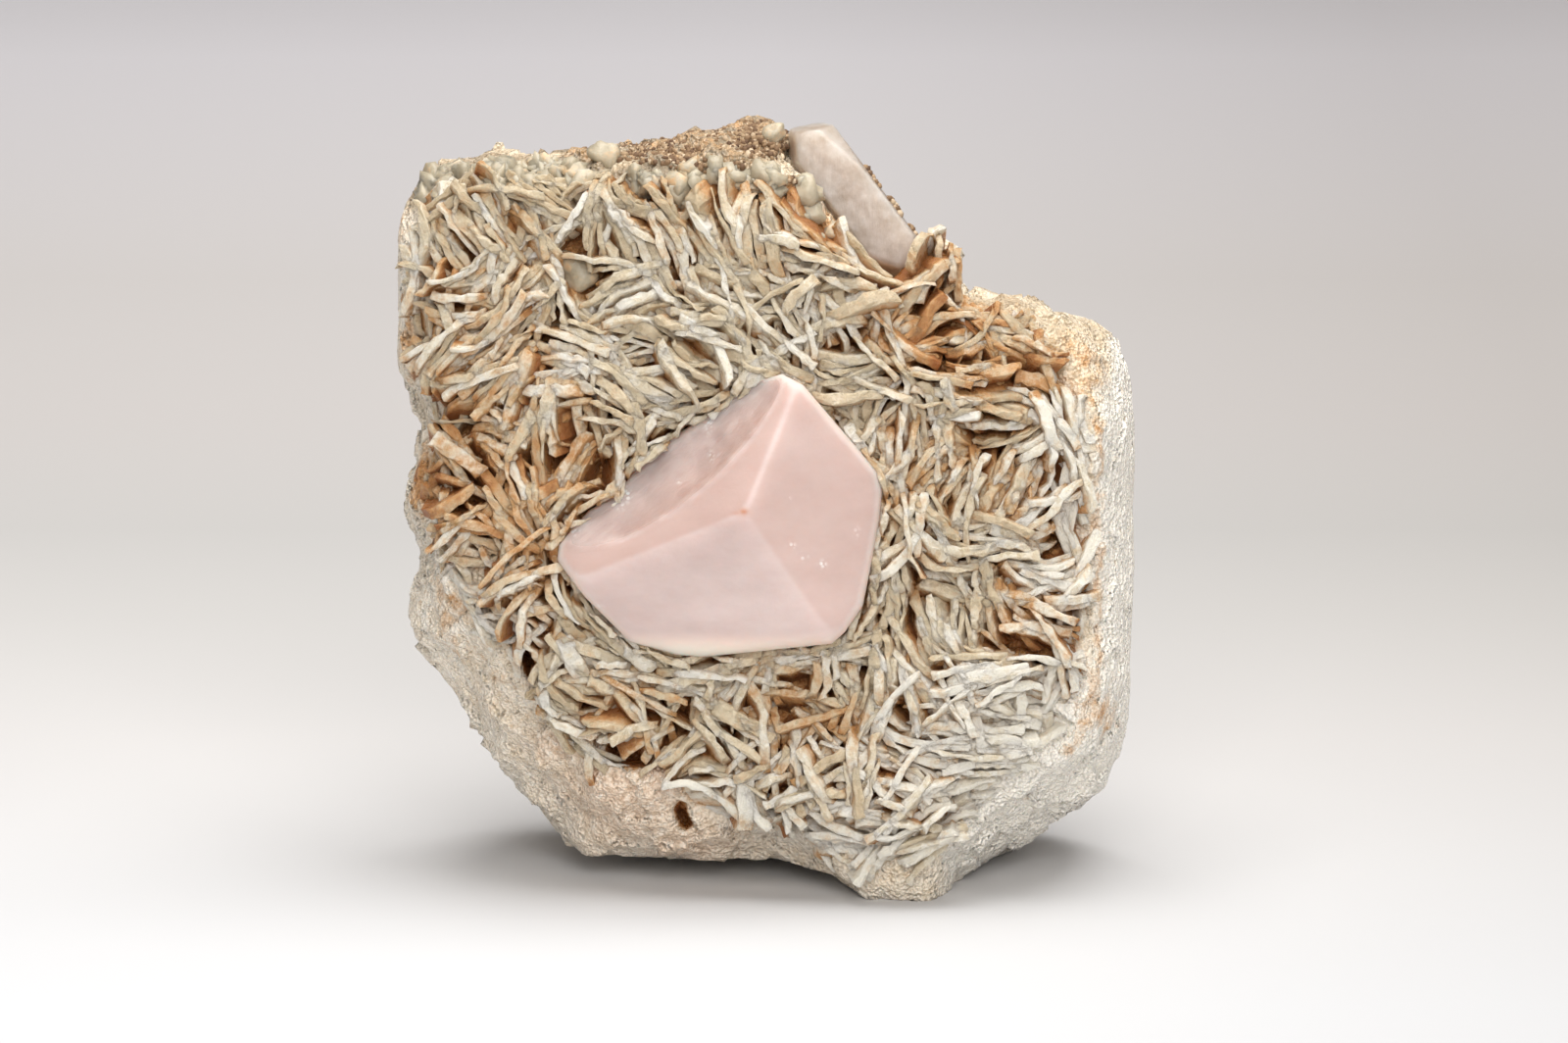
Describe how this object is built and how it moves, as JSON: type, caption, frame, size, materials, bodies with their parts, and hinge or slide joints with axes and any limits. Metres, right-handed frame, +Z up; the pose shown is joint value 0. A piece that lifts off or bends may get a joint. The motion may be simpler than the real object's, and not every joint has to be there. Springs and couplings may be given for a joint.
{
  "type": "morganite crystal specimen",
  "caption": "Loose mineral specimen: a pale pink morganite crystal with broad faces set in a block of bladed white albite, with a pale quartz prism on its upper edge.",
  "frame": {"origin": "on the flat base, near its middle, on the block's middle line", "axes": "+Z up, -Y out of the bladed front that carries the morganite, +X to the right seen from the front"},
  "size_m": [0.1147, 0.0734, 0.1155],
  "materials": {
    "albite": "off-white bladed and massive feldspar, brown iron stain in the gaps, fine sparkle",
    "morganite": "milky translucent pale pink crystal with soft frosted faces and a glossy conchoidal break",
    "quartz": "milky translucent cream prism with fine growth lines"
  },
  "bodies": {
    "root": {"albite_matrix": "albite", "morganite_crystal": "morganite", "quartz_crystal": "quartz"}
  },
  "joints": []
}
